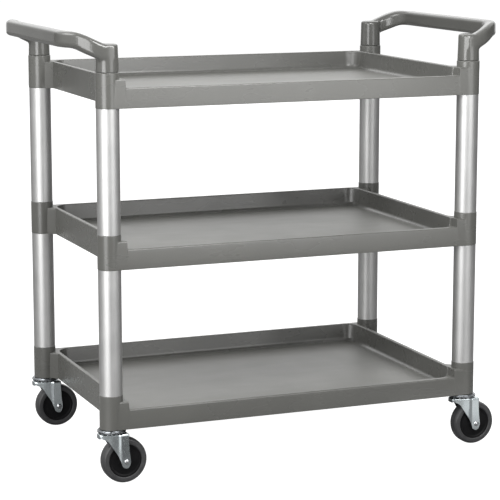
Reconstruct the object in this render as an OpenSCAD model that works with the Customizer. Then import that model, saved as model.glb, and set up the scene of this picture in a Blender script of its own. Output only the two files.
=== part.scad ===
// Three-shelf food service trolley: moulded shelves on flush aluminium posts,
// a loop handle at each end, four swivel casters that trail towards +X at rest.
// Millimetres. Origin on the floor under the middle of the trolley,
// +X along the length, +Y towards the back, +Z up.

/* [Frame] */
// Distance from the middle to a post axis, along the length
post_x = 430; // [380:5:480]
// Distance from the middle to a post axis, across the depth
post_y = 260; // [230:5:280]
// Outside diameter of the aluminium posts
post_d = 50.4; // [48:0.2:52]
// Wall of the aluminium posts
post_wall = 1.6; // [1.2:0.2:2.4]
// Height of the bottom shelf's underside above the floor
bottom_z = 123; // [120:1:135]
// Height of the middle shelf's underside above the floor
middle_z = 476; // [440:2:500]
// Height of the top shelf's underside above the floor
top_z = 823; // [780:2:860]

/* [Shelf] */
// Half length of a tray, over its end walls
tray_hx = 409; // [405:1:410]
// Outside diameter of a corner collar
collar_d = 52; // [52:0.2:54]
// Height of a corner collar
collar_h = 76; // [70:1:80]
// Height of the end and back walls
wall_h = 62; // [56:1:68]
// Height of the low front wall
front_h = 44; // [36:1:50]
// Height of the tray floor's top face above the shelf's underside
floor_h = 19; // [16:1:24]
// Thickness of the tray floor
floor_t = 4; // [3:0.5:6]
// Width of the wall's top lip
lip = 12; // [10:1:14]
// Thickness of the wall's skins
skin = 3; // [2.5:0.5:3.5]

/* [Handle] */
// Distance from the middle to the outer face of a grip
grip_x = 525; // [515:1:535]
// Thickness of the loop in plan
grip_t = 28; // [24:1:32]
// Height of the loop's section
grip_h = 34.5; // [28:0.5:38]
// How far the grip stands above the sockets' tops
grip_rise = 28; // [20:1:34]
// Height of a socket above the top shelf's collars
socket_h = 58.3; // [50:0.1:64]

/* [Caster] */
// Wheel diameter
wheel_d = 101.6; // [98:0.2:103]
// Tyre width
tyre_w = 32; // [28:1:34]
// Trail of the axle behind the swivel axis
trail = 26.5; // [22:0.5:32]
// Distance over the fork legs
fork_w = 50; // [48:1:54]
// Thickness of the fork's sheet
fork_t = 2.5; // [2:0.5:3]

/* [Hidden] */
$fn = 64;
post_r = post_d / 2;
bore_r = post_r - post_wall;
spigot_r = bore_r - 0.05;
collar_r = collar_d / 2;
core_r = 20;
tray_hy = post_y + collar_r - 1;
spigot_l = 30;
seam_z = top_z + collar_h;
socket_top = seam_z + socket_h;
axle_z = wheel_d / 2;
race_top = bottom_z - 0.2;
crown_top = bottom_z - 9.4;
crown_t = 3;
ball_r = 3;
ball_ring = 21;
stem_r = 6;

// Rectangle of half sizes hx, hy with corners of radius r
module rrect(hx, hy, r) {
  square([2 * hx, 2 * (hy - r)], center = true);
  square([2 * (hx - r), 2 * hy], center = true);
  for (sx = [-1, 1], sy = [-1, 1]) translate([sx * (hx - r), sy * (hy - r)]) circle(r);
}

// The four post axes
module corners() {
  for (sx = [-1, 1], sy = [-1, 1]) translate([sx * post_x, sy * post_y, 0]) children();
}

// One tray with walls on its end and back edges, a low front wall, hollow
// walls open below, ribs under the floor, and four corner collars
module shelf(down = true) {
  color([0.30, 0.30, 0.29])
  difference() {
    union() {
      difference() {
        linear_extrude(wall_h) rrect(tray_hx, tray_hy, 10);
        // the dished inside, wider towards the top
        translate([0, 0, floor_h]) linear_extrude(wall_h) rrect(tray_hx - lip - 12, tray_hy - lip - 12, 22);
        translate([0, 0, floor_h + 4]) linear_extrude(wall_h) rrect(tray_hx - lip - 7, tray_hy - lip - 7, 26);
        translate([0, 0, floor_h + 11]) linear_extrude(wall_h) rrect(tray_hx - lip - 3, tray_hy - lip - 3, 30);
        translate([0, 0, floor_h + 22]) linear_extrude(wall_h) rrect(tray_hx - lip, tray_hy - lip, 32);
        // the front wall is lower
        translate([-(tray_hx - lip), -tray_hy - 1, front_h]) cube([2 * (tray_hx - lip), lip + 40, wall_h]);
        // the space under the floor
        translate([0, 0, -1]) linear_extrude(floor_h - floor_t + 1) rrect(tray_hx - skin, tray_hy - skin, 8);
        // the hollow of the walls
        difference() {
          translate([0, 0, -1]) linear_extrude(front_h - skin + 1) rrect(tray_hx - skin, tray_hy - skin, 8);
          translate([0, 0, -2]) linear_extrude(floor_h + 6) rrect(tray_hx - lip - 12 + skin, tray_hy - lip - 12 + skin, 22);
          translate([0, 0, floor_h - 1]) linear_extrude(wall_h) rrect(tray_hx - lip - 12 + skin + 5, tray_hy - lip - 12 + skin + 5, 24);
          translate([0, 0, floor_h + 8]) linear_extrude(wall_h) rrect(tray_hx - lip + skin - 1, tray_hy - lip + skin - 1, 28);
        }
      }
      // collars
      corners() cylinder(r = collar_r, h = collar_h);
      // spigots that the posts and handles push over
      corners() translate([0, 0, collar_h - 1]) cylinder(r = spigot_r, h = spigot_l + 1);
      if (down) corners() translate([0, 0, -spigot_l]) cylinder(r = spigot_r, h = spigot_l + 1);
      // the front and back faces run on to the collars, and webs slope from
      // the end walls to the collars
      for (sx = [-1, 1], sy = [-1, 1]) {
        translate([sx * (tray_hx + 8), sy * (tray_hy - 5), wall_h / 2]) cube([28, 10, wall_h], center = true);
        linear_extrude(wall_h) polygon([
          [sx * (tray_hx - 3), sy * (post_y - 43)], [sx * tray_hx, sy * (post_y - 43)],
          [sx * (post_x - 7), sy * (post_y - collar_r + 1.6)], [sx * post_x, sy * (post_y - 8)], [sx * (tray_hx - 3), sy * (post_y - 8)]]);
      }
      // ribs under the floor
      for (x = [-300 : 100 : 300]) translate([x - 1.5, -tray_hy + 2, 2]) cube([3, 2 * tray_hy - 4, floor_h - floor_t - 1]);
      for (y = [-156 : 104 : 156]) translate([-tray_hx + 2, y - 1.5, 2]) cube([2 * tray_hx - 4, 3, floor_h - floor_t - 1]);
    }
    // the collars are hollow from end to end
    corners() translate([0, 0, -spigot_l - 1]) cylinder(r = core_r, h = collar_h + 2 * spigot_l + 2);
  }
}

// A length of tube over two spigots
module post(z0, z1) {
  color([0.78, 0.78, 0.77])
  translate([0, 0, z0])
  difference() {
    cylinder(r = post_r, h = z1 - z0);
    translate([0, 0, -1]) cylinder(r = bore_r, h = z1 - z0 + 2);
  }
}

// Side outline of the loop: level over the sockets, a ramp, level at the grip
module handle_side() {
  zt = socket_top;
  x0 = post_x - 10;
  x1 = post_x + 7;
  x2 = grip_x - grip_t;
  polygon([
    [x0, zt - grip_h], [x1 - 4, zt - grip_h], [x1 + 4, zt - grip_h + 1.2],
    [x2 - 5, zt - grip_h + grip_rise - 1.4], [x2 + 5, zt - grip_h + grip_rise], [grip_x + 1, zt - grip_h + grip_rise],
    [grip_x + 1, zt + grip_rise], [x2 + 5, zt + grip_rise], [x2 - 5, zt + grip_rise - 1.4],
    [x1 + 4, zt + 1.2], [x1 - 4, zt], [x0, zt]
  ]);
}

// Plan of the loop: a grip along the depth and a quarter ring to each socket
module handle_plan() {
  r = grip_x - post_x;
  cy = post_y + collar_r - 2 - r;
  for (sy = [-1, 1]) intersection() {
    translate([post_x, sy * cy]) difference() { circle(r); circle(r - grip_t); }
    translate([post_x - 1, sy > 0 ? cy : -cy - r - 1]) square([r + 2, r + 1]);
  }
  translate([grip_x - grip_t, -cy]) square([grip_t, 2 * cy]);
}

module handle() {
  color([0.27, 0.27, 0.26])
  difference() {
    union() {
      intersection() {
        translate([0, 0, seam_z]) linear_extrude(150) handle_plan();
        rotate([90, 0, 0]) translate([0, 0, -400]) linear_extrude(800) handle_side();
      }
      for (sy = [-1, 1]) translate([post_x, sy * post_y, seam_z + 0.2]) {
        cylinder(r = post_r - 0.2, h = socket_h - 3.2);
        cylinder(r = post_r - 2.2, h = socket_h - 0.2);
      }
    }
    for (sy = [-1, 1]) translate([post_x, sy * post_y, seam_z - 1]) cylinder(r = bore_r - 0.9, h = socket_h - 4);
    for (sy = [-1, 1]) translate([post_x, sy * post_y, seam_z - 1]) cylinder(r = bore_r, h = spigot_l + 2);
  }
}

// ---- casters, drawn about the swivel axis, trailing towards +X ----

module stem_socket() {
  color([0.85, 0.85, 0.82])
  difference() {
    translate([0, 0, bottom_z]) cylinder(r = core_r - 0.05, h = 52);
    translate([0, 0, bottom_z - 1]) cylinder(r = stem_r + 0.05, h = 48);
  }
}

module stem() {
  color([0.62, 0.62, 0.62])
  union() {
    translate([0, 0, crown_top - crown_t - 3.3]) cylinder(r = 10.5, h = 3);
    translate([0, 0, crown_top - crown_t - 2]) cylinder(r = stem_r, h = bottom_z + 44 - (crown_top - crown_t - 2));
  }
}

module upper_race() {
  color([0.55, 0.56, 0.57])
  difference() {
    union() {
      translate([0, 0, race_top - 6]) cylinder(r = 31.5, h = 4.6);
      translate([0, 0, race_top - 2.5]) cylinder(r = 29.8, h = 2.5);
    }
    translate([0, 0, race_top - 8]) cylinder(r = stem_r + 0.05, h = 12);
    // ball track, with running clearance
    translate([0, 0, crown_top + 1.8]) rotate_extrude() translate([ball_ring, 0]) circle(ball_r + 0.3, $fn = 32);
  }
}

module swivel_balls() {
  color([0.8, 0.8, 0.8])
  for (a = [0 : 360 / 14 : 359]) rotate([0, 0, a]) translate([ball_ring, 0, crown_top + 1.8]) sphere(ball_r, $fn = 24);
}

// Outline of one fork leg seen from the side: a wide top that narrows in a
// raked curve to a round eye at the axle
module fork_leg_side() {
  zt = crown_top - crown_t + 0.5;
  polygon([
    [30, zt], [30.6, 88], [31.6, 72], [36.3, axle_z + 2], [trail + 9.6, axle_z - 2.5],
    [trail - 9.4, axle_z - 3.5], [trail - 10.6, axle_z + 8], [10.5, 74], [3.5, 86.5], [-6, 96.5], [-17.5, 103.5], [-29, zt - 3], [-29, zt]
  ]);
  // the eye reaches below the axle
  translate([trail, axle_z]) circle(10, $fn = 48);
  translate([trail - 0.6, axle_z - 4.3]) circle(10.4, $fn = 48);
}

module fork() {
  color([0.66, 0.68, 0.69])
  difference() {
    union() {
      // crown
      translate([0, 0, crown_top - crown_t]) cylinder(r = 30, h = crown_t);
      // legs
      for (sy = [-1, 1]) translate([0, sy > 0 ? fork_w / 2 : -fork_w / 2 + fork_t, 0])
        rotate([90, 0, 0]) linear_extrude(fork_t) fork_leg_side();
      // inward flanges down the raked edge
      for (sy = [-1, 1]) translate([0, sy > 0 ? fork_w / 2 - 5.5 : -fork_w / 2, 0]) translate([0, 5.5, 0])
        rotate([90, 0, 0]) linear_extrude(5.5) intersection() {
          fork_leg_side();
          polygon([[-29, crown_top], [-29, 107], [-17.5, 103.5], [-6, 96.5], [3.5, 86.5], [10.5, 74], [12.8, 75], [6, 87.9], [-4, 98.7], [-16.5, 106], [-20, crown_top]]);
        }
      // shoulders that carry the crown out to the legs
      for (sy = [-1, 1]) translate([-22, sy > 0 ? fork_w / 2 - 9 : -fork_w / 2, crown_top - crown_t]) cube([50, 9, crown_t]);
    }
    translate([0, 0, crown_top - 20]) cylinder(r = stem_r + 0.05, h = 40);
    // ball track
    translate([0, 0, crown_top + 1.8]) rotate_extrude() translate([ball_ring, 0]) circle(ball_r + 0.02, $fn = 32);
    // axle holes
    translate([trail, 0, axle_z]) rotate([90, 0, 0]) cylinder(r = 4.05, h = 80, center = true);
  }
}

module axle_bolt() {
  color([0.75, 0.76, 0.77])
  translate([trail, 0, axle_z]) rotate([90, 0, 0]) {
    translate([0, 0, -fork_w / 2 - 6.5]) cylinder(r = 4, h = fork_w + 7);
    translate([0, 0, fork_w / 2]) intersection() {
      cylinder(r = 6.2, h = 3.4);
      translate([0, 0, -5.2]) sphere(8.6);
    }
  }
}

module axle_nut() {
  color([0.7, 0.71, 0.72])
  translate([trail, 0, axle_z]) rotate([-90, 0, 0]) translate([0, 0, fork_w / 2])
  difference() {
    union() { cylinder(r = 7.5, h = 5.6, $fn = 6); cylinder(r = 7.4, h = 1); }
    translate([0, 0, -1]) cylinder(r = 4.02, h = 9);
  }
}

module axle_sleeve() {
  color([0.72, 0.72, 0.7])
  translate([trail, 0, axle_z]) rotate([90, 0, 0]) difference() {
    cylinder(r = 6.5, h = fork_w - 2 * fork_t - 0.1, center = true);
    cylinder(r = 4.05, h = fork_w, center = true);
  }
}

// Hub: a dished black wheel centre with a boss
module hub() {
  color([0.06, 0.06, 0.06])
  translate([trail, 0, axle_z]) rotate([90, 0, 0]) rotate_extrude($fn = 96)
    polygon([[6.57, -20], [11, -20], [12.5, -14.6], [33.5, -13.4], [35.5, -14.4], [39.95, -14.4], [39.95, -3], [42, -2], [42, 2], [39.95, 3],
             [39.95, 14.4], [35.5, 14.4], [33.5, 13.4], [12.5, 14.6], [11, 20], [6.57, 20]]);
}

module tyre() {
  color([0.16, 0.16, 0.17])
  translate([trail, 0, axle_z]) rotate([90, 0, 0]) rotate_extrude($fn = 128)
    polygon([[40, -14.6], [42.5, -16], [46.5, -16], [49.3, -14.6], [50.5, -11.5], [wheel_d / 2, -7], [wheel_d / 2, 7], [50.5, 11.5], [49.3, 14.6],
             [46.5, 16], [42.5, 16], [40, 14.6], [40, 3.05], [42.05, 2.05], [42.05, -2.05], [40, -3.05]]);
}

module at(sx, sy) { translate([sx * post_x, sy * post_y, 0]) children(); }

translate([0, 0, top_z]) shelf();  // top_shelf
translate([0, 0, middle_z]) shelf();  // middle_shelf
translate([0, 0, bottom_z]) shelf(down = false);  // bottom_shelf
mirror([1, 0, 0]) handle();  // left_handle
handle();  // right_handle

at(-1, -1) post(middle_z + collar_h + 0.1, top_z - 0.1);  // front_left_upper_post
at(1, -1) post(middle_z + collar_h + 0.1, top_z - 0.1);  // front_right_upper_post
at(-1, 1) post(middle_z + collar_h + 0.1, top_z - 0.1);  // back_left_upper_post
at(1, 1) post(middle_z + collar_h + 0.1, top_z - 0.1);  // back_right_upper_post
at(-1, -1) post(bottom_z + collar_h + 0.1, middle_z - 0.1);  // front_left_lower_post
at(1, -1) post(bottom_z + collar_h + 0.1, middle_z - 0.1);  // front_right_lower_post
at(-1, 1) post(bottom_z + collar_h + 0.1, middle_z - 0.1);  // back_left_lower_post
at(1, 1) post(bottom_z + collar_h + 0.1, middle_z - 0.1);  // back_right_lower_post

at(-1, -1) stem_socket();  // front_left_stem_socket
at(-1, -1) stem();  // front_left_stem
at(-1, -1) upper_race();  // front_left_upper_race
at(-1, -1) swivel_balls();  // front_left_swivel_balls
at(-1, -1) fork();  // front_left_fork
at(-1, -1) axle_bolt();  // front_left_axle_bolt
at(-1, -1) axle_nut();  // front_left_axle_nut
at(-1, -1) axle_sleeve();  // front_left_axle_sleeve
at(-1, -1) hub();  // front_left_hub
at(-1, -1) tyre();  // front_left_tyre

at(1, -1) stem_socket();  // front_right_stem_socket
at(1, -1) stem();  // front_right_stem
at(1, -1) upper_race();  // front_right_upper_race
at(1, -1) swivel_balls();  // front_right_swivel_balls
at(1, -1) fork();  // front_right_fork
at(1, -1) axle_bolt();  // front_right_axle_bolt
at(1, -1) axle_nut();  // front_right_axle_nut
at(1, -1) axle_sleeve();  // front_right_axle_sleeve
at(1, -1) hub();  // front_right_hub
at(1, -1) tyre();  // front_right_tyre

at(-1, 1) stem_socket();  // back_left_stem_socket
at(-1, 1) stem();  // back_left_stem
at(-1, 1) upper_race();  // back_left_upper_race
at(-1, 1) swivel_balls();  // back_left_swivel_balls
at(-1, 1) fork();  // back_left_fork
at(-1, 1) axle_bolt();  // back_left_axle_bolt
at(-1, 1) axle_nut();  // back_left_axle_nut
at(-1, 1) axle_sleeve();  // back_left_axle_sleeve
at(-1, 1) hub();  // back_left_hub
at(-1, 1) tyre();  // back_left_tyre

at(1, 1) stem_socket();  // back_right_stem_socket
at(1, 1) stem();  // back_right_stem
at(1, 1) upper_race();  // back_right_upper_race
at(1, 1) swivel_balls();  // back_right_swivel_balls
at(1, 1) fork();  // back_right_fork
at(1, 1) axle_bolt();  // back_right_axle_bolt
at(1, 1) axle_nut();  // back_right_axle_nut
at(1, 1) axle_sleeve();  // back_right_axle_sleeve
at(1, 1) hub();  // back_right_hub
at(1, 1) tyre();  // back_right_tyre
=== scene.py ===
import bpy
import bmesh
import math
import numpy as np
from mathutils import Matrix, Vector


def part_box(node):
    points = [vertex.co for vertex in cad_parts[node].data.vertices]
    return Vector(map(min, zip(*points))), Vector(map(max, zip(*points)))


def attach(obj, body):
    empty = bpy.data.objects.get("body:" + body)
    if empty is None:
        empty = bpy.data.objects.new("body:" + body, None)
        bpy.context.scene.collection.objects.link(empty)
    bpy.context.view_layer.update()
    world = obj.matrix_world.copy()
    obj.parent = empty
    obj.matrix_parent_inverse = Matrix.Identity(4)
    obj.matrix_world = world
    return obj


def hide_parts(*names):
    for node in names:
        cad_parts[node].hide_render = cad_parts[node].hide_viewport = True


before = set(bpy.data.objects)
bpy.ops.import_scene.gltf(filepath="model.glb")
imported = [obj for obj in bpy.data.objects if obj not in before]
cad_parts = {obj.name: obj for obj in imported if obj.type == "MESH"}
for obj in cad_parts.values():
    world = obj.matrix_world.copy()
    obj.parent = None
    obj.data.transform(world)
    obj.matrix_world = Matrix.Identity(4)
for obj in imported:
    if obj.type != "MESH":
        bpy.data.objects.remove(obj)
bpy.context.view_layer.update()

MM = 0.001
SCENE = bpy.context.scene


# ---------------------------------------------------------------- places, from the frame, in mm

def node_box(node):
    lo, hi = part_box(node)
    return [v / MM for v in lo], [v / MM for v in hi]


lo, hi = node_box("front_right_upper_post")
POST_X, POST_Y = (lo[0] + hi[0]) / 2, -(lo[1] + hi[1]) / 2
POST_R = (hi[0] - lo[0]) / 2
COLLAR_H, SPIGOT = 76.0, 30.0
TOP_Z = node_box("top_shelf")[0][2] + SPIGOT
MID_Z = node_box("middle_shelf")[0][2] + SPIGOT
LOW_Z = node_box("bottom_shelf")[0][2]
lo, hi = node_box("right_handle")
GRIP_X, SOCKET_LOW, GRIP_TOP = hi[0], lo[2], hi[2]
lo, hi = node_box("front_right_tyre")
AXLE_X, AXLE_Z, WHEEL_R = (lo[0] + hi[0]) / 2 - POST_X, (lo[2] + hi[2]) / 2, (hi[2] - lo[2]) / 2
TRAY_HX, TRAY_HY = 409.0, 285.0
LIP = 12.0
CORNERS = [("front_left", -1, -1), ("front_right", 1, -1), ("back_left", -1, 1), ("back_right", 1, 1)]


# ---------------------------------------------------------------- mesh helpers

def new_object(name, verts, faces, scale=MM):
    me = bpy.data.meshes.new(name)
    me.from_pydata([(v[0] * scale, v[1] * scale, v[2] * scale) for v in verts], [], faces)
    me.update()
    ob = bpy.data.objects.new(name, me)
    SCENE.collection.objects.link(ob)
    return ob


def clean(ob, weld=1e-6, normals=True):
    bm = bmesh.new()
    bm.from_mesh(ob.data)
    bmesh.ops.remove_doubles(bm, verts=bm.verts, dist=weld)
    bmesh.ops.dissolve_degenerate(bm, edges=bm.edges, dist=weld)
    loose = [v for v in bm.verts if not v.link_faces]
    if loose:
        bmesh.ops.delete(bm, geom=loose, context="VERTS")
    if normals:
        bmesh.ops.recalc_face_normals(bm, faces=bm.faces)
    bm.to_mesh(ob.data)
    bm.free()
    ob.data.update()


def smooth(ob, angle=32.0):
    bm = bmesh.new()
    bm.from_mesh(ob.data)
    for f in bm.faces:
        f.smooth = True
    limit = math.radians(angle)
    for e in bm.edges:
        e.smooth = not (len(e.link_faces) == 2 and e.calc_face_angle(0.0) > limit)
    bm.to_mesh(ob.data)
    bm.free()
    ob.data.update()


def applied(ob):
    """Bakes the modifiers of ob into its mesh."""
    dg = bpy.context.evaluated_depsgraph_get()
    me = bpy.data.meshes.new_from_object(ob.evaluated_get(dg))
    old = ob.data
    ob.modifiers.clear()
    ob.data = me
    me.name = old.name
    bpy.data.meshes.remove(old)


def lathe(prof, segs=64, axis="Z", closed=False):
    """Vertices and faces of a profile [(r, h), ...] turned about an axis."""
    verts, faces, rings = [], [], []
    for r, h in prof:
        ring = []
        if r < 1e-6:
            ring.append(len(verts))
            verts.append((0.0, 0.0, h) if axis == "Z" else (0.0, h, 0.0))
        else:
            for i in range(segs):
                a = 2 * math.pi * i / segs
                ring.append(len(verts))
                c, s = r * math.cos(a), r * math.sin(a)
                verts.append((c, s, h) if axis == "Z" else (c, h, s))
        rings.append(ring)
    pairs = list(zip(rings, rings[1:]))
    if closed:
        pairs.append((rings[-1], rings[0]))
    for a, b in pairs:
        for i in range(segs):
            j = (i + 1) % segs
            if len(a) == 1 and len(b) == 1:
                continue
            if len(a) == 1:
                faces.append((a[0], b[j], b[i]))
            elif len(b) == 1:
                faces.append((a[i], a[j], b[0]))
            else:
                faces.append((a[i], a[j], b[j], b[i]))
    return verts, faces


def rounded(points, n=4, closed=False):
    """Points [(x, y, radius), ...] of an outline with its corners rounded."""
    out = []
    count = len(points)
    for i, (x, y, r) in enumerate(points):
        if r <= 0 or (not closed and i in (0, count - 1)):
            out.append((x, y))
            continue
        p, a, b = Vector((x, y)), Vector(points[i - 1][:2]), Vector(points[(i + 1) % count][:2])
        da, db = (a - p), (b - p)
        la, lb = da.length, db.length
        da, db = da / la, db / lb
        half = math.acos(max(-1, min(1, da.dot(db)))) / 2
        t = min(r / math.tan(half), la * 0.49, lb * 0.49)
        r = t * math.tan(half)
        c = p + (da + db).normalized() * (r / math.sin(half))
        s, e = p + da * t - c, p + db * t - c
        turn = math.atan2(s.x * e.y - s.y * e.x, s.dot(e))
        for k in range(n + 1):
            w = turn * k / n
            out.append((c.x + s.x * math.cos(w) - s.y * math.sin(w), c.y + s.x * math.sin(w) + s.y * math.cos(w)))
    return out


def interp(x, table):
    xs = [t[0] for t in table]
    ys = [t[1] for t in table]
    if xs[0] > xs[-1]:
        xs, ys = xs[::-1], ys[::-1]
    return float(np.interp(x, xs, ys))


# ---------------------------------------------------------------- materials

def tree_of(name):
    m = bpy.data.materials.new(name)
    m.use_nodes = True
    t = m.node_tree
    t.nodes.clear()
    out = t.nodes.new("ShaderNodeOutputMaterial")
    bsdf = t.nodes.new("ShaderNodeBsdfPrincipled")
    t.links.new(bsdf.outputs[0], out.inputs[0])
    tc = t.nodes.new("ShaderNodeTexCoord")
    return m, t, bsdf, tc


def noise(t, tc, scale, detail=3.0, rough=0.5, stretch=None, distortion=0.0):
    n = t.nodes.new("ShaderNodeTexNoise")
    n.inputs["Scale"].default_value = scale
    n.inputs["Detail"].default_value = detail
    n.inputs["Roughness"].default_value = rough
    n.inputs["Distortion"].default_value = distortion
    if stretch:
        mp = t.nodes.new("ShaderNodeMapping")
        mp.inputs["Scale"].default_value = stretch
        t.links.new(tc.outputs["Object"], mp.inputs[0])
        t.links.new(mp.outputs[0], n.inputs["Vector"])
    else:
        t.links.new(tc.outputs["Object"], n.inputs["Vector"])
    return n


def remap(t, socket, a, b, lo, hi, kind="LINEAR"):
    r = t.nodes.new("ShaderNodeMapRange")
    r.interpolation_type = kind
    r.inputs["From Min"].default_value = a
    r.inputs["From Max"].default_value = b
    r.inputs["To Min"].default_value = lo
    r.inputs["To Max"].default_value = hi
    t.links.new(socket, r.inputs["Value"])
    return r.outputs[0]


def mix_colour(t, fac, a, b):
    m = t.nodes.new("ShaderNodeMix")
    m.data_type = "RGBA"
    t.links.new(fac, m.inputs[0])
    for i, c in ((6, a), (7, b)):
        if isinstance(c, tuple):
            m.inputs[i].default_value = (*c, 1.0)
        else:
            t.links.new(c, m.inputs[i])
    return m.outputs[2]


def maths(t, op, a, b):
    m = t.nodes.new("ShaderNodeMath")
    m.operation = op
    for i, v in enumerate((a, b)):
        if isinstance(v, (int, float)):
            m.inputs[i].default_value = v
        else:
            t.links.new(v, m.inputs[i])
    return m.outputs[0]


def bump(t, height, strength, distance, normal=None):
    b = t.nodes.new("ShaderNodeBump")
    b.inputs["Strength"].default_value = strength
    b.inputs["Distance"].default_value = distance
    t.links.new(height, b.inputs["Height"])
    if normal is not None:
        t.links.new(normal, b.inputs["Normal"])
    return b.outputs[0]


def painted_light_lift(t, fac, colour, gain):
    """The colour raised by gain where fac is 1: painted light."""
    v = t.nodes.new("ShaderNodeVectorMath")
    v.operation = "SCALE"
    t.links.new(colour, v.inputs[0])
    t.links.new(remap(t, fac, 0.0, 1.0, 1.0, gain), v.inputs["Scale"])
    return v.outputs[0]


def moulded_plastic(name, dark, light, rough, wave=1.0, grain=1.0, painted_top_light_and_rough=None):
    """Moulded grey plastic: faint flow clouds, a fine moulded grain, long shallow waves and light rubbing. When its
    last argument is given, faces that look up get painted light, a colour made brighter as if lit from above, and a
    higher roughness.
    """
    m, t, bsdf, tc = tree_of(name)
    cloud = noise(t, tc, 5.5, 4.0, 0.55, distortion=0.6)
    speck = noise(t, tc, 260.0, 1.0, 0.5)
    mixed = maths(t, "ADD", maths(t, "MULTIPLY", cloud.outputs["Fac"], 0.85), maths(t, "MULTIPLY", speck.outputs["Fac"], 0.15))
    split = t.nodes.new("ShaderNodeSeparateXYZ")
    t.links.new(tc.outputs["Normal"], split.inputs[0])
    # faces that look up: used below for painted light (a brighter colour, as if lit from above) and for extra roughness
    upward = remap(t, split.outputs[2], 0.90, 0.985, 0.0, 1.0, "SMOOTHSTEP") if painted_top_light_and_rough else None
    colour = mix_colour(t, remap(t, mixed, 0.32, 0.68, 0.0, 1.0), dark, light)
    # painted light: up-facing faces get a brighter colour, standing in for light from above
    if painted_top_light_and_rough:
        colour = painted_light_lift(t, upward, colour, painted_top_light_and_rough[0])
    t.links.new(colour, bsdf.inputs["Base Color"])
    rub = noise(t, tc, 10.0, 2.0, 0.5, distortion=0.3)
    scuff = noise(t, tc, 42.0, 2.0, 0.5, stretch=(0.2, 1.0, 1.0))
    both = maths(t, "ADD", maths(t, "MULTIPLY", rub.outputs["Fac"], 0.6), maths(t, "MULTIPLY", scuff.outputs["Fac"], 0.4))
    level = remap(t, both, 0.3, 0.7, rough - 0.03, rough + 0.03)
    if painted_top_light_and_rough:
        level = maths(t, "ADD", level, maths(t, "MULTIPLY", upward, painted_top_light_and_rough[1]))
    t.links.new(level, bsdf.inputs["Roughness"])
    bsdf.inputs["IOR"].default_value = 1.5
    waves = noise(t, tc, 7.0, 1.5, 0.4)
    n1 = bump(t, waves.outputs["Fac"], 0.5 * wave, 0.0016)
    fine = noise(t, tc, 420.0, 1.0, 0.5)
    n2 = bump(t, fine.outputs["Fac"], 0.04 * grain, 0.0003, n1)
    t.links.new(n2, bsdf.inputs["Normal"])
    return m


def satin_metal(name, dark, light, rough, lines=None, spread=0.05, grain=0.05, scale=420.0):
    """Metal with a fine grain; lines stretches it along one axis, as drawn or brushed metal has."""
    m, t, bsdf, tc = tree_of(name)
    bsdf.inputs["Metallic"].default_value = 1.0
    g = noise(t, tc, scale, 3.0, 0.6, stretch=lines)
    patch = noise(t, tc, 22.0, 3.0, 0.5)
    mixed = maths(t, "ADD", maths(t, "MULTIPLY", g.outputs["Fac"], 0.55), maths(t, "MULTIPLY", patch.outputs["Fac"], 0.45))
    t.links.new(mix_colour(t, remap(t, mixed, 0.35, 0.65, 0.0, 1.0), dark, light), bsdf.inputs["Base Color"])
    t.links.new(remap(t, mixed, 0.3, 0.7, rough - spread, rough + spread), bsdf.inputs["Roughness"])
    t.links.new(bump(t, g.outputs["Fac"], grain, 0.0002), bsdf.inputs["Normal"])
    return m


def black_plastic(name, dark, light, rough, grain):
    m, t, bsdf, tc = tree_of(name)
    cloud = noise(t, tc, 60.0, 4.0, 0.6)
    t.links.new(mix_colour(t, remap(t, cloud.outputs["Fac"], 0.35, 0.65, 0.0, 1.0), dark, light), bsdf.inputs["Base Color"])
    t.links.new(remap(t, cloud.outputs["Fac"], 0.3, 0.7, rough - 0.06, rough + 0.06), bsdf.inputs["Roughness"])
    fine = noise(t, tc, 1400.0, 2.0, 0.6)
    t.links.new(bump(t, fine.outputs["Fac"], grain, 0.0004), bsdf.inputs["Normal"])
    return m


# the 1.55 is painted light on the shelves' up-facing faces; the 0.20 is added roughness
SHELF_MAT = moulded_plastic("moulded_grey_shelf", (0.068, 0.068, 0.063), (0.078, 0.078, 0.072), 0.28, painted_top_light_and_rough=(1.55, 0.20))
HANDLE_MAT = moulded_plastic("moulded_grey_handle", (0.061, 0.061, 0.057), (0.071, 0.071, 0.066), 0.18, wave=0.4)
POST_MAT = satin_metal("satin_anodised_tube", (0.42, 0.42, 0.416), (0.48, 0.48, 0.476), 0.48, lines=(1.0, 1.0, 0.02), spread=0.04, grain=0.06)
ZINC_MAT = satin_metal("zinc_plated_sheet", (0.42, 0.455, 0.47), (0.50, 0.54, 0.55), 0.25, spread=0.04, grain=0.02, scale=260.0)
# the race's zinc plate gets a darker colour than the fork's same plate: painted shade under the collar
RACE_PAINTED_SHADE_MAT = satin_metal("zinc_plated_race_painted_shade", (0.17, 0.18, 0.19), (0.23, 0.24, 0.25), 0.22, spread=0.05, grain=0.05, scale=300.0)
BRIGHT_MAT = satin_metal("bright_fastener_metal", (0.34, 0.35, 0.36), (0.44, 0.45, 0.46), 0.26, spread=0.05, grain=0.04)
BALL_MAT = satin_metal("bearing_steel_balls", (0.66, 0.67, 0.68), (0.74, 0.75, 0.76), 0.14, spread=0.03, grain=0.02)
NYLON_MAT = black_plastic("white_nylon_insert", (0.62, 0.62, 0.58), (0.70, 0.70, 0.66), 0.45, 0.05)
HUB_MAT = black_plastic("black_hub_plastic", (0.0020, 0.0020, 0.0023), (0.0036, 0.0036, 0.0040), 0.40, 0.06)
HUB_MAT.node_tree.nodes["Principled BSDF"].inputs["Specular IOR Level"].default_value = 0.14
TYRE_MAT = black_plastic("dark_tyre_rubber", (0.020, 0.020, 0.021), (0.030, 0.030, 0.031), 0.48, 0.14)


def wear(ob, material):
    ob.data.materials.clear()
    ob.data.materials.append(material)


def finish_piece(ob, material, body, nodes, weighted=True):
    wear(ob, material)
    if weighted:
        w = ob.modifiers.new("weighted", "WEIGHTED_NORMAL")
        w.keep_sharp = True
        w.weight = 60
    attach(ob, body)
    if nodes:
        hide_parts(*nodes)


# ---------------------------------------------------------------- shelf

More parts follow.
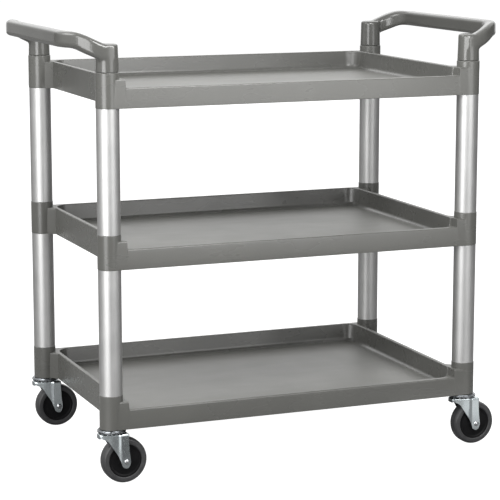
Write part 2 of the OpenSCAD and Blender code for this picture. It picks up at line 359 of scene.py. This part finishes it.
FULL_H, FRONT_H = 62.0, 44.0
INNER = [(59.5, 0.0), (45.0, 2.0), (30.0, 4.14), (27.15, 4.51), (24.5, 5.61), (22.2, 7.36), (20.5, 9.64), (19.37, 12.3), (19.0, 15.14)]


def quarter(front):
    """Stations from the middle of the front wall (or back wall, mirrored) to the middle of an end wall:
    outer point, its inward normal, lip's inner point, its inward normal, height."""
    q = []
    low = FRONT_H if front else FULL_H

    def inner(x):
        if x <= 365:
            return (x, -273.0), (0.0, 1.0)
        s = min(1.0, (x - 365) / 34.5)
        c = math.sqrt(max(0.0, 1 - s * s))
        return (365 + 32 * s, -(241 + 32 * c)), (-s, c)

    def add(x, h):
        p, n = inner(x)
        q.append(((x, -285.0), (0.0, 1.0), p, n, h))

    for x in (0, 40, 80, 120, 160, 200, 240, 280, 320, 345, 365, 371, 377, 382, 386.5, 390.5, 393.5):
        add(x, low)
    if front:
        for x, h in ((395.6, 44.0), (396.1, 44.4), (396.4, 45.6), (396.7, 48.5), (397.1, 57.5), (397.4, 60.5), (397.8, 61.6), (398.4, 62.0)):
            add(x, h)
    else:
        add(396.5, FULL_H)
    add(399.5, FULL_H)
    for x, y in ((403, -240.9), (409, -240.8), (416, -240.7), (423, -240.6), (430, -240.5)):
        q.append(((x, -285.0), (0.0, 1.0), (397.0, y), (-1.0, 0.0), FULL_H))
    for deg, y in ((-60, -240.3), (-30, -240.1), (0, -239.9), (30, -239.6), (60, -239.2), (90, -238.5)):
        a = math.radians(deg)
        q.append(((430 + 25 * math.cos(a), -260 + 25 * math.sin(a)), (-math.cos(a), -math.sin(a)), (397.0, y), (-1.0, 0.0), FULL_H))
    q.append(((426.5, -235.3), (-0.45, -0.6), (397.0, -236.5), (-1.0, 0.0), FULL_H))
    q.append(((419.0, -228.5), (-0.66, -0.75), (397.0, -231.0), (-1.0, 0.0), FULL_H))
    q.append(((411.2, -220.9), (-0.68, -0.73), (397.0, -223.5), (-1.0, 0.0), FULL_H))
    q.append(((409.3, -218.6), (-0.88, -0.47), (397.0, -219.6), (-1.0, 0.0), FULL_H))
    q.append(((409.0, -216.0), (-1.0, 0.0), (397.0, -216.8), (-1.0, 0.0), FULL_H))
    for y in (-200, -160, -120, -80, -40, 0):
        q.append(((409.0, y), (-1.0, 0.0), (397.0, y), (-1.0, 0.0), FULL_H))
    return q


def columns():
    def flip(c, sx, sy):
        o, no, p, n, h = c
        return ((o[0] * sx, o[1] * sy), (no[0] * sx, no[1] * sy), (p[0] * sx, p[1] * sy), (n[0] * sx, n[1] * sy), h)

    f, k = quarter(True), quarter(False)
    return (
        f
        + [flip(c, 1, -1) for c in reversed(k[:-1])]
        + [flip(c, -1, -1) for c in k[1:]]
        + [flip(c, -1, 1) for c in reversed(f[1:-1])]
    )


def column_profile(c):
    o, no, p, n, h = c
    pts = []

    def from_o(u, z):
        pts.append((o[0] + no[0] * u, o[1] + no[1] * u, z))

    def from_p(w, z):
        pts.append((p[0] + n[0] * w, p[1] + n[1] * w, z))

    # under the floor and up the hollow of the wall
    from_p(15.14, 15.0)
    from_p(8.0, 16.6)
    from_p(3.6, 21.5)
    from_p(1.6, 29.0)
    from_p(-0.6, 41.0)
    from_o(3.0, 41.0)
    from_o(3.0, 0.0)
    # outer face, a little crowned, with a soft top edge
    from_o(1.2, 0.0)
    from_o(0.35, 0.35)
    from_o(0.0, 1.3)
    from_o(0.05, h * 0.25)
    from_o(0.30, h * 0.5)
    from_o(0.75, h * 0.75)
    top_u, r = 1.2, 3.2
    for deg in (0, 22.5, 45, 67.5, 90):
        a = math.radians(deg)
        from_o(top_u + r - r * math.cos(a), h - r + r * math.sin(a))
    ax, ay, _ = pts[-1]
    edge = interp(h - 2.5, INNER)
    bx, by = p[0] + n[0] * (edge - 2.5), p[1] + n[1] * (edge - 2.5)
    for k in (1, 2, 3, 4):
        f = k / 5
        pts.append((ax + (bx - ax) * f, ay + (by - ay) * f, h))
    for deg in (90, 67.5, 45, 22.5, 0):
        a = math.radians(deg)
        from_p(edge - 2.5 + 2.5 * math.cos(a), h - 2.5 + 2.5 * math.sin(a))
    from_p(interp((h - 2.5 + 30) / 2, INNER), (h - 2.5 + 30) / 2)
    for z, w in INNER[2:]:
        from_p(w, z)
    from_p(18.0, 19.0)
    return pts


def shelf_body(name):
    cols = [column_profile(c) for c in columns()]
    m, n = len(cols[0]), len(cols)
    verts = [v for col in cols for v in col]
    faces = []
    for i in range(n):
        j = (i + 1) % n
        for k in range(m - 1):
            faces.append((i * m + k, j * m + k, j * m + k + 1, i * m + k + 1))
    faces.append(tuple(i * m + m - 1 for i in range(n)))
    faces.append(tuple(i * m for i in reversed(range(n))))
    ob = new_object(name, verts, faces)
    clean(ob)
    return ob


def rib_grid(name):
    """Crossed ribs as one closed mesh, from the walls' skins to the floor's underside."""
    xs, ys = [-407.6], [-283.6]
    for x in range(-300, 301, 100):
        xs += [x - 1.5, x + 1.5]
    for y in (-156, -52, 52, 156):
        ys += [y - 1.5, y + 1.5]
    xs.append(407.6)
    ys.append(283.6)
    z0, z1 = 2.0, 16.0
    nx, ny = len(xs) - 1, len(ys) - 1
    filled = lambda i, j: 0 <= i < nx and 0 <= j < ny and (i % 2 == 1 or j % 2 == 1)
    verts, index, faces = [], {}, []

    def v(x, y, z):
        key = (x, y, z)
        if key not in index:
            index[key] = len(verts)
            verts.append(key)
        return index[key]

    for i in range(nx):
        for j in range(ny):
            if not filled(i, j):
                continue
            a, b, c, d = xs[i], xs[i + 1], ys[j], ys[j + 1]
            faces.append((v(a, c, z1), v(b, c, z1), v(b, d, z1), v(a, d, z1)))
            faces.append((v(a, d, z0), v(b, d, z0), v(b, c, z0), v(a, c, z0)))
            if not filled(i - 1, j):
                faces.append((v(a, d, z0), v(a, c, z0), v(a, c, z1), v(a, d, z1)))
            if not filled(i + 1, j):
                faces.append((v(b, c, z0), v(b, d, z0), v(b, d, z1), v(b, c, z1)))
            if not filled(i, j - 1):
                faces.append((v(a, c, z0), v(b, c, z0), v(b, c, z1), v(a, c, z1)))
            if not filled(i, j + 1):
                faces.append((v(b, d, z0), v(a, d, z0), v(a, d, z1), v(b, d, z1)))
    return new_object(name, verts, faces)


def four(name, verts, faces):
    """A shape repeated at the four post axes, as one mesh."""
    vs, fs = [], []
    for _, sx, sy in CORNERS:
        base = len(vs)
        vs += [(x + sx * POST_X, y + sy * POST_Y, z) for x, y, z in verts]
        fs += [tuple(i + base for i in f) for f in faces]
    ob = new_object(name, vs, fs)
    clean(ob)
    return ob


def boolean(target, tool, operation):
    b = target.modifiers.new("bool", "BOOLEAN")
    b.operation = operation
    b.solver = "EXACT"
    b.object = tool
    applied(target)
    bpy.data.objects.remove(tool)


def make_shelf_mesh():
    body = shelf_body("shelf_master")
    collar = rounded([(0, 0, 0), (26.0, 0, 1.3), (26.0, COLLAR_H, 1.6), (0, COLLAR_H, 0)], 4)
    boolean(body, rib_grid("ribs"), "UNION")
    boolean(body, four("collars", *lathe(collar, 96)), "UNION")
    boolean(body, four("cores", *lathe([(0, -3), (20, -3), (20, COLLAR_H + 3), (0, COLLAR_H + 3)], 64)), "DIFFERENCE")
    clean(body, 2e-6)
    smooth(body, 30)
    return body


master = make_shelf_mesh()
for node, z in (("top_shelf", TOP_Z), ("middle_shelf", MID_Z), ("bottom_shelf", LOW_Z)):
    ob = bpy.data.objects.new("moulded_" + node, master.data.copy())
    SCENE.collection.objects.link(ob)
    ob.data.transform(Matrix.Translation((0, 0, z * MM)))
    finish_piece(ob, SHELF_MAT, "root", [node])
bpy.data.objects.remove(master)


# ---------------------------------------------------------------- handles

def rise(x):
    return interp(x, [(430, 0.0), (434, 0.15), (438, 0.8), (442, 2.2), (447, 4.4), (488, 24.2), (492, 26.0), (496, 27.3), (500, 27.9), (505, 28.0)])


def depth(x):
    """How much deeper than 30 mm the bar is: most on the sloping arms."""
    return interp(x, [(430, 1.29), (478, 1.29), (486, 1.25), (494, 1.18), (502, 1.15)])


def handle_mesh(sign, name):
    r_mid, cy = GRIP_X - POST_X - 14.0, POST_Y + 24.0 - (GRIP_X - POST_X)
    path = [(POST_X - 12.0, -(POST_Y + 10.0), 0.0, -1.0), (POST_X - 5.0, -(POST_Y + 10.0), 0.0, -1.0)]
    for k in range(0, 25):
        a = math.radians(-90 + 90 * k / 24)
        path.append((POST_X + r_mid * math.cos(a), -cy + r_mid * math.sin(a), math.cos(a), math.sin(a)))
    for k in range(1, 16):
        path.append((POST_X + r_mid, -cy + 2 * cy * k / 16, 1.0, 0.0))
    path += [(x, -y, nx, -ny) for x, y, nx, ny in reversed(path[:27])]
    section = rounded([(14.0, 0.0, 8.6), (14.0, 30.0, 8.6), (-14.0, 30.0, 8.6), (-14.0, 0.0, 8.6)], 6, closed=True)
    base = SOCKET_LOW + 55.8 - 30.0
    verts, faces = [], []
    m = len(section)
    for x, y, nx, ny in path:
        for u, w in section:
            px, py = x + nx * u, y + ny * u
            verts.append((px, py, base + 15.0 + (w - 15.0) * depth(px) + rise(px)))
    for i in range(len(path) - 1):
        for k in range(m):
            l = (k + 1) % m
            faces.append((i * m + k, (i + 1) * m + k, (i + 1) * m + l, i * m + l))
    faces.append(tuple(range(m - 1, -1, -1)))
    faces.append(tuple((len(path) - 1) * m + k for k in range(m)))
    h = 60.4
    prof = rounded([(0, 0.0, 0), (24.8, 0.0, 0.8), (24.2, 30.0, 0), (23.6, h, 4.2), (0, h, 0)], 5)
    for sy in (-1, 1):
        vs, fs = lathe(prof, 72)
        start = len(verts)
        verts += [(x + POST_X, y + sy * POST_Y, z + SOCKET_LOW) for x, y, z in vs]
        fs = [tuple(i + start for i in f) for f in fs]
        faces += fs
    verts = [(sign * x, y, z) for x, y, z in verts]
    ob = new_object(name, verts, faces)
    clean(ob)
    mod = ob.modifiers.new("remesh", "REMESH")
    mod.mode = "VOXEL"
    mod.voxel_size = 0.00125
    mod.use_smooth_shade = True
    applied(ob)
    # ease the joint between arm and socket, and leave the sockets' lower rims
    me = ob.data
    n = len(me.vertices)
    co = np.empty(n * 3)
    me.vertices.foreach_get("co", co)
    co = co.reshape(-1, 3)
    ed = np.empty(len(me.edges) * 2, np.int64)
    me.edges.foreach_get("vertices", ed)
    ed = ed.reshape(-1, 2)
    deg = np.bincount(ed.ravel(), minlength=n)[:, None]
    start = co.copy()
    dx = np.abs(co[:, 0]) / MM - POST_X
    dy = np.abs(co[:, 1]) / MM - POST_Y
    z = co[:, 2] / MM - SOCKET_LOW
    radial = np.hypot(dx, dy)
    near = np.clip(1 - np.abs(radial - 27.0) / 14.0, 0, 1) * np.clip((z - 12.0) / 10.0, 0, 1)
    weight = (0.16 + 0.84 * np.clip(near * 1.6, 0, 1)) * np.clip((z - 1.8) / 4.0, 0, 1)
    for step in range(26):
        total = np.zeros_like(co)
        np.add.at(total, ed[:, 0], co[ed[:, 1]])
        np.add.at(total, ed[:, 1], co[ed[:, 0]])
        move = (total / deg - co) * 0.6
        w = weight if step < 10 else weight * np.clip(near * 1.6, 0, 1)
        if step % 2:
            w = w * (0.0 if step < 10 else 1.0)
        co = co + move * w[:, None]
    shift = co - start
    length = np.linalg.norm(shift, axis=1, keepdims=True)
    co = start + shift * np.minimum(1.0, 0.004 / np.maximum(length, 1e-12))
    me.vertices.foreach_set("co", co.ravel())
    me.update()
    for p in me.polygons:
        p.use_smooth = True
    return ob


for side, sign in (("left", -1), ("right", 1)):
    ob = handle_mesh(sign, "moulded_%s_handle" % side)
    finish_piece(ob, HANDLE_MAT, "root", [side + "_handle"], weighted=False)


# ---------------------------------------------------------------- casters, drawn about the swivel axis

FORK_Y = [(36.6, 25.0), (15.2, 25.0), (14.4, 24.88), (13.6, 24.45), (10.4, 22.2), (9.6, 21.8), (8.0, 21.45), (-4.0, 19.5), (-8.0, 18.6), (-11.0, 17.7), (-17.0, 16.1), (-22.0, 14.8), (-26.0, 13.4), (-28.6, 12.0)]
FRONT_EDGE = [(107.0, -28.6), (105.2, -27.4), (103.0, -23.4), (101.2, -18.5), (98.6, -14.2), (95.0, -11.0), (90.0, -7.8), (84.0, -4.2), (77.0, 0.6), (69.7, 5.2), (62.8, 9.2), (57.0, 11.6), (52.5, 13.1), (48.2, 14.3), (43.7, 15.7), (40.1, 17.6), (38.5, 19.3), (37.0, 21.6), (36.3, 23.6), (36.0, 25.3)]
REAR_EDGE = [(107.0, 31.2), (88.0, 31.9), (72.0, 33.0), (60.0, 34.7), (54.9, 35.4), (49.3, 35.7), (44.8, 34.6), (41.4, 33.2), (38.5, 31.3), (37.0, 29.4), (36.3, 27.6), (36.0, 26.1)]
CROWN_TOP = node_box("front_right_fork")[1][2]
LEG_COLS = [k / 40.0 for k in range(41)]


def fork_mesh():
    rows = [107.0, 106.1, 105.2, 104.5, 103.7, 103.0, 102.1, 101.2, 99.9, 98.6, 96.8, 95.0, 92.5, 90.0, 87.0, 84.0, 79.5, 74.0, 68.8, 62.8, 57.0, 52.5, 48.2, 43.7, 41.4, 40.1, 38.5, 37.6, 37.0, 36.6, 36.3, 36.0]
    verts, faces, index = [], [], {}

    def add(x, y, z):
        key = (round(x, 4), round(y, 4), round(z, 4))
        if key not in index:
            index[key] = len(verts)
            verts.append((x, y, z))
        return index[key]

    def leg_point(z, s, side):
        x = interp(z, FRONT_EDGE) * (1 - s) + interp(z, REAR_EDGE) * s
        # flat round the axle, a short step inward, then a panel that closes in towards the front
        y = interp(x, FORK_Y)
        return x, side * y, z

    legs = {}
    for side in (-1, 1):
        grid = [[add(*leg_point(z, s, side)) for s in LEG_COLS] for z in rows]
        legs[side] = grid
        for i in range(len(rows) - 1):
            for j in range(len(LEG_COLS) - 1):
                a, b, c, d = grid[i][j], grid[i][j + 1], grid[i + 1][j + 1], grid[i + 1][j]
                f = tuple(dict.fromkeys((a, b, c, d) if side > 0 else (d, c, b, a)))
                if len(f) > 2:
                    faces.append(f)
    # closed loop at the top row: front leg, round the rear, back leg, round the front
    top = [verts[i] for i in legs[-1][0]]
    rear = [(32.6, -24.2), (33.6, -21.8), (33.8, -17.0), (33.8, -9.0), (33.8, 0.0), (33.8, 9.0), (33.8, 17.0), (33.6, 21.8), (32.6, 24.2)]
    front = [(-30.2, 10.2), (-31.0, 7.4), (-31.5, 3.8), (-31.6, 0.0), (-31.5, -3.8), (-31.0, -7.4), (-30.2, -10.2)]
    loop = [(x, y) for x, y, _ in top] + rear + [(verts[i][0], verts[i][1]) for i in reversed(legs[1][0])] + front

    def ring(scale_in, z):
        out = []
        for x, y in loop:
            d = math.hypot(x, y)
            f = max(0.0, d - scale_in) / d
            out.append(add(x * f, y * f, z))
        return out

    # skirt below the top row, round the rear and the front only
    count = len(loop)
    first = ring(0.0, 107.0)
    for a, b, low in ((len(top) - 1, len(top) + len(rear), 104.0), (count - len(front) - 1, count, 103.2)):
        span = list(range(a, b + 1))
        under = []
        for i in span:
            x, y = loop[i % count]
            under.append(add(x, y, low if i not in (span[0], span[-1]) else 104.5))
        for k in range(len(span) - 1):
            faces.append((under[k], under[k + 1], first[span[k + 1] % count], first[span[k] % count]))
    levels = [(0.0, 109.4)] + [(4.2 - 4.2 * math.cos(math.radians(d)), CROWN_TOP - 4.2 + 4.2 * math.sin(math.radians(d))) for d in (22.5, 45, 67.5, 90)]
    prev = first
    for inset, z in levels:
        now = ring(inset, z)
        for i in range(count):
            j = (i + 1) % count
            faces.append((prev[i], prev[j], now[j], now[i]))
        prev = now
    for radius in (14.0, 6.1):
        now = []
        for x, y in loop:
            d = math.hypot(x, y)
            now.append(add(x / d * radius, y / d * radius, CROWN_TOP))
        for i in range(count):
            j = (i + 1) % count
            faces.append((prev[i], prev[j], now[j], now[i]))
        prev = now
    ob = new_object("fork_master", verts, faces)
    clean(ob, 1e-5)
    # outward: the leg's outer face looks away from the wheel
    me = ob.data
    total = sum(p.normal.dot(Vector((p.center.x, p.center.y, 0))) * p.area for p in me.polygons)
    if total < 0:
        me.flip_normals()
    s = ob.modifiers.new("sheet", "SOLIDIFY")
    s.thickness = 0.0024
    s.offset = -1.0
    s.use_even_offset = True
    b = ob.modifiers.new("edge", "BEVEL")
    b.width = 0.0006
    b.segments = 2
    b.limit_method = "ANGLE"
    b.angle_limit = math.radians(55)
    applied(ob)
    smooth(ob, 40)
    return ob


def turned(name, prof, segs, axis="Z", closed=False, angle=30):
    ob = new_object(name, *lathe(prof, segs, axis, closed))
    clean(ob)
    smooth(ob, angle)
    return ob


RACE_TOP = node_box("front_right_upper_race")[1][2]


def race_mesh():
    t = RACE_TOP
    prof = rounded([
        (6.1, t, 0), (29.0, t, 1.0), (29.6, t - 2.0, 0.3), (31.5, t - 2.3, 1.1), (31.5, t - 6.2, 1.2), (29.4, t - 6.6, 0.5),
        (25.0, t - 5.4, 0.6), (24.4, t - 3.2, 0.4), (18.0, t - 3.0, 0.5), (17.5, t - 6.0, 0.5), (6.1, t - 6.0, 0)], 4, closed=True)
    return turned("race_master", prof, 72, closed=True)


def tyre_mesh():
    half = [(37.2, 14.3, 0.3), (37.9, 15.2, 0.4), (39.6, 15.7, 0.8), (47.2, 15.7, 3.8), (50.5, 9.0, 6.0), (WHEEL_R, 0.0, 0)]
    upper = rounded([(37.2, 0.0, 0)] + half, 5)
    prof = upper + [(r, -h) for r, h in reversed(upper[1:-1])]
    return turned("tyre_master", prof, 128, axis="Y", closed=True, angle=28)


def hub_mesh():
    half = [(6.6, 20.0, 0), (10.4, 20.0, 0.8), (11.6, 14.9, 1.2), (15.5, 13.6, 1.5), (31.0, 12.6, 1.5), (33.8, 13.6, 1.2), (36.0, 13.9, 0.8), (37.15, 13.6, 0.4), (37.15, 0.0, 0)]
    upper = rounded([(6.6, 0.0, 0)] + half, 4)
    prof = upper + [(r, -h) for r, h in reversed(upper[1:-1])]
    return turned("hub_master", prof, 96, axis="Y", closed=True, angle=28)


def bolt_mesh():
    y0, y1 = -28.4, 31.5
    head = [(0.0, y0), (1.6, y0 + 0.08), (3.0, y0 + 0.42), (4.3, y0 + 1.05), (5.3, y0 + 1.9), (5.95, y0 + 2.75), (6.2, y0 + 3.15), (6.1, y0 + 3.4)]
    shank = [(4.0, y0 + 3.4), (4.0, y1 - 0.7), (3.3, y1), (0.0, y1)]
    return turned("bolt_master", head + shank, 40, axis="Y", angle=35)


def nut_mesh():
    """A hexagon nut with chamfered corners over a round flange."""
    verts, faces = [], []
    segs, y0 = 48, 25.0
    hexr = lambda a: 6.5 / math.cos((a % (math.pi / 3)) - math.pi / 6)
    rings = [
        (lambda a: 4.02, y0), (lambda a: 7.2, y0), (lambda a: 7.4, y0 + 0.3), (lambda a: 7.3, y0 + 0.9), (lambda a: min(hexr(a), 7.0), y0 + 1.1),
        (lambda a: hexr(a), y0 + 1.6), (lambda a: hexr(a), y0 + 4.7), (lambda a: min(hexr(a), 6.9), y0 + 5.2), (lambda a: 6.3, y0 + 5.6), (lambda a: 4.6, y0 + 5.6), (lambda a: 4.02, y0 + 5.2)]
    for f, y in rings:
        for i in range(segs):
            a = 2 * math.pi * i / segs
            verts.append((f(a) * math.cos(a), y, f(a) * math.sin(a)))
    n = len(rings)
    for r in range(n):
        for i in range(segs):
            j = (i + 1) % segs
            q = (r + 1) % n
            faces.append((r * segs + i, r * segs + j, q * segs + j, q * segs + i))
    ob = new_object("nut_master", verts, faces)
    clean(ob)
    smooth(ob, 25)
    return ob


masters = {
    "fork": (fork_mesh(), ZINC_MAT, "zinc_plated_steel", "caster", (0, 0)),
    "upper_race": (race_mesh(), RACE_PAINTED_SHADE_MAT, "zinc_plated_steel", "root", (0, 0)),
    "axle_bolt": (bolt_mesh(), BRIGHT_MAT, "bright_fastener", "caster", (AXLE_X, AXLE_Z)),
    "axle_nut": (nut_mesh(), BRIGHT_MAT, "bright_fastener", "caster", (AXLE_X, AXLE_Z)),
    "hub": (hub_mesh(), HUB_MAT, "hub_plastic", "wheel", (AXLE_X, AXLE_Z)),
    "tyre": (tyre_mesh(), TYRE_MAT, "tyre_rubber", "wheel", (AXLE_X, AXLE_Z)),
}
for corner, sx, sy in CORNERS:
    for part, (ob0, mat, slot, ride, (ox, oz)) in masters.items():
        ob = bpy.data.objects.new("%s_%s_shown" % (corner, part), ob0.data.copy())
        SCENE.collection.objects.link(ob)
        ob.location = ((sx * POST_X + ox) * MM, sy * POST_Y * MM, oz * MM)
        body = "root" if ride == "root" else "%s_%s" % (corner, ride)
        finish_piece(ob, mat, body, ["%s_%s" % (corner, part)])
for ob0, *_ in masters.values():
    bpy.data.objects.remove(ob0)


# ---------------------------------------------------------------- CAD nodes that stay

for name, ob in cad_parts.items():
    if ob.hide_render:
        continue
    kind = name.split("_", 2)[-1]
    if kind.endswith("post"):
        m = POST_MAT
    elif kind == "stem_socket":
        m = NYLON_MAT
    elif kind == "swivel_balls":
        m = BALL_MAT
    elif kind == "stem":
        m = ZINC_MAT
    else:
        m = BRIGHT_MAT
    if not ob.data.materials:
        ob.data.materials.append(m)
    for i in range(len(ob.data.materials)):
        ob.data.materials[i] = m


# ---------------------------------------------------------------- camera, floor and light

cam_data = bpy.data.cameras.new("camera")
cam = bpy.data.objects.new("camera", cam_data)
SCENE.collection.objects.link(cam)
cam.location = (-1.7073, -4.2470, 1.2546)
cam.rotation_euler = (math.radians(90 - 10.006), 0.0, math.radians(-21.90))
cam_data.sensor_width = 36.0
cam_data.lens = 142.23
cam_data.clip_end = 60.0
SCENE.camera = cam

floor = new_object("floor", [(-9, -9, 0), (9, -9, 0), (9, 9, 0), (-9, 9, 0)], [(0, 1, 2, 3)], scale=1.0)
fm, ft, fb, ftc = tree_of("studio_floor")
fn = noise(ft, ftc, 1.2, 2.0, 0.5)
ft.links.new(mix_colour(ft, fn.outputs["Fac"], (0.24, 0.24, 0.24), (0.26, 0.26, 0.26)), fb.inputs["Base Color"])
fb.inputs["Roughness"].default_value = 0.9
fb.inputs["Specular IOR Level"].default_value = 0.1
fb.inputs["Emission Color"].default_value = (1, 1, 1, 1)
fb.inputs["Emission Strength"].default_value = 0.97
f_dim = ft.nodes.new("ShaderNodeBsdfDiffuse")


def card(x, y, radius, value):
    """A soft-edged card laid on the studio floor; it is only seen by light that has left the trolley."""
    d = ft.nodes.new("ShaderNodeVectorMath")
    d.operation = "DISTANCE"
    ft.links.new(ftc.outputs["Object"], d.inputs[0])
    d.inputs[1].default_value = (x, y, 0)
    return remap(ft, d.outputs["Value"], radius * 0.55, radius, value, 0.0, "SMOOTHSTEP")


f_level = maths(ft, "ADD", card(0.60, -0.66, 0.26, 0.50), card(-0.76, -0.52, 0.24, 0.42))
f_level = maths(ft, "ADD", f_level, card(-0.27, -0.12, 0.22, 0.45))
f_level = maths(ft, "SUBTRACT", f_level, card(-0.26, -0.64, 0.26, 0.16))
f_grey = ft.nodes.new("ShaderNodeCombineColor")
for k in range(3):
    ft.links.new(maths(ft, "ADD", f_level, 0.22), f_grey.inputs[k])
f_path = ft.nodes.new("ShaderNodeLightPath")
f_mix = ft.nodes.new("ShaderNodeMixShader")
f_out = next(n for n in ft.nodes if n.type == "OUTPUT_MATERIAL")
ft.links.new(f_path.outputs["Is Camera Ray"], f_mix.inputs[0])
ft.links.new(f_grey.outputs[0], f_dim.inputs[0])
ft.links.new(f_dim.outputs[0], f_mix.inputs[1])
ft.links.new(fb.outputs[0], f_mix.inputs[2])
ft.links.new(f_mix.outputs[0], f_out.inputs[0])
floor.data.materials.append(fm)

world = bpy.data.worlds.new("studio")
SCENE.world = world
world.use_nodes = True
wt = world.node_tree
wt.nodes.clear()
w_out = wt.nodes.new("ShaderNodeOutputWorld")
w_seen = wt.nodes.new("ShaderNodeBackground")
w_seen.inputs[0].default_value = (1, 1, 1, 1)
w_seen.inputs[1].default_value = 1.05
w_soft = wt.nodes.new("ShaderNodeBackground")
w_tc = wt.nodes.new("ShaderNodeTexCoord")
w_sep = wt.nodes.new("ShaderNodeSeparateXYZ")
wt.links.new(w_tc.outputs["Generated"], w_sep.inputs[0])


def ramp(socket, a, b, lo, hi):
    return remap(wt, socket, a, b, lo, hi, "SMOOTHSTEP")


# a broad soft front, a lit backdrop straight behind with darker flags either side of it, a soft overhead light
w_along = maths(wt, "ADD", maths(wt, "MULTIPLY", w_sep.outputs[0], 0.373), maths(wt, "MULTIPLY", w_sep.outputs[1], 0.928))
w_back = ramp(w_along, 0.72, 0.93, 0.0, 1.3)
w_high = maths(wt, "MULTIPLY", ramp(w_along, -0.1, 0.4, 0.0, 1.9), ramp(w_sep.outputs[2], 0.2, 0.42, 0.0, 1.0))
w_front = ramp(w_along, 0.25, -0.15, 0.0, 0.40)
w_top = ramp(w_sep.outputs[2], 0.45, 0.9, 0.0, 0.5)
w_left = ramp(w_sep.outputs[0], -0.55, -0.92, 0.0, 0.9)
w_sum = maths(wt, "ADD", maths(wt, "ADD", maths(wt, "ADD", w_back, w_front), w_top), maths(wt, "ADD", w_high, w_left))
wt.links.new(maths(wt, "ADD", w_sum, 0.16), w_soft.inputs[1])
w_path = wt.nodes.new("ShaderNodeLightPath")
w_mix = wt.nodes.new("ShaderNodeMixShader")
wt.links.new(w_path.outputs["Is Camera Ray"], w_mix.inputs[0])
wt.links.new(w_soft.outputs[0], w_mix.inputs[1])
wt.links.new(w_seen.outputs[0], w_mix.inputs[2])
wt.links.new(w_mix.outputs[0], w_out.inputs[0])


def softbox(name, azimuth, distance, width, low, high, radiance, tilt=0.0):
    """A softbox that faces the trolley. Azimuth is from -Y towards -X and tilt is downward, in degrees."""
    a = math.radians(azimuth)
    d = bpy.data.lights.new(name, "AREA")
    d.shape = "RECTANGLE"
    d.size, d.size_y = width, high - low
    d.energy = radiance * math.pi * d.size * d.size_y
    ob = bpy.data.objects.new(name, d)
    SCENE.collection.objects.link(ob)
    ob.location = (-math.sin(a) * distance, -math.cos(a) * distance, (low + high) / 2)
    ob.rotation_euler = (math.radians(90 - tilt), 0, -a)
    return ob


softbox("softbox_left", 52.0, 2.5, 1.25, 0.12, 1.7, 7.4)
softbox("softbox_right", -18.0, 2.5, 1.3, 0.25, 1.7, 3.2)
softbox("softbox_side", 96.0, 1.9, 1.2, 1.6, 2.4, 6.5, tilt=38.0)
softbox("softbox_over", 4.0, 1.15, 1.0, 1.3, 1.75, 16.0, tilt=40.0)

SCENE.view_settings.view_transform = "Standard"
SCENE.view_settings.look = "None"
SCENE.view_settings.exposure = 0.0
SCENE.view_settings.gamma = 1.0
